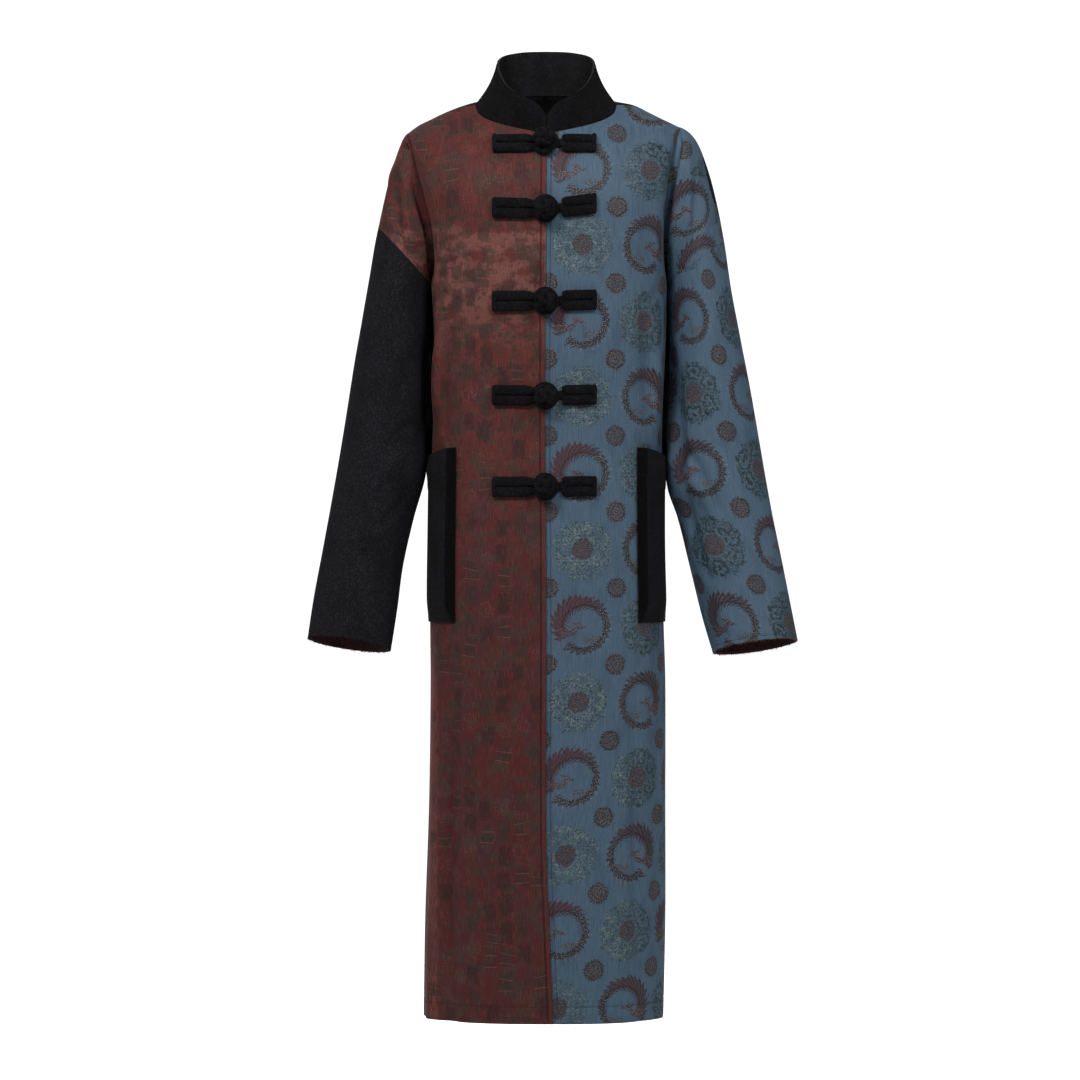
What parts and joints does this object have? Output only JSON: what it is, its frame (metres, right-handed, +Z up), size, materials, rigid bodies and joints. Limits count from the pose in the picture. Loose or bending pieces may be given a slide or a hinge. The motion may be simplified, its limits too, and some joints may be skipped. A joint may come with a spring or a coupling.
{
  "type": "brocade coat",
  "caption": "Long straight hollow coat with a stand collar, knotted frog closures down the front, dropped shoulders and side patch pockets.",
  "frame": {"origin": "middle of the shoulder line, level with the two side points of the neck seam, where the wearer's shoulders carry the coat", "axes": "+Z up along the coat's length, +X towards the wearer's left, the front facing -Y"},
  "size_m": [0.6299, 0.277, 1.2551],
  "materials": {
    "red_brocade": "dark red silk brocade, matt with a soft sheen",
    "blue_brocade": "grey-blue silk brocade with woven medallions, soft sheen",
    "black_wool": "black felted wool cloth, matt",
    "frog_cord": "black cloth tubing, matt",
    "lining": "dark red silk lining, soft sheen"
  },
  "bodies": {
    "root": {"right_front": "red_brocade", "left_front": "blue_brocade", "left_sleeve_front": "blue_brocade", "left_sleeve_back": "blue_brocade", "back": "black_wool", "collar": "black_wool", "right_sleeve_front": "black_wool", "right_sleeve_back": "black_wool", "right_pocket": "black_wool", "left_pocket": "black_wool", "right_cuff_lining": "lining", "left_cuff_lining": "lining", "frog_1_loop": "frog_cord", "frog_1_button": "frog_cord", "frog_2_loop": "frog_cord", "frog_2_button": "frog_cord", "frog_3_loop": "frog_cord", "frog_3_button": "frog_cord", "frog_4_loop": "frog_cord", "frog_4_button": "frog_cord", "frog_5_loop": "frog_cord", "frog_5_button": "frog_cord"}
  },
  "joints": []
}
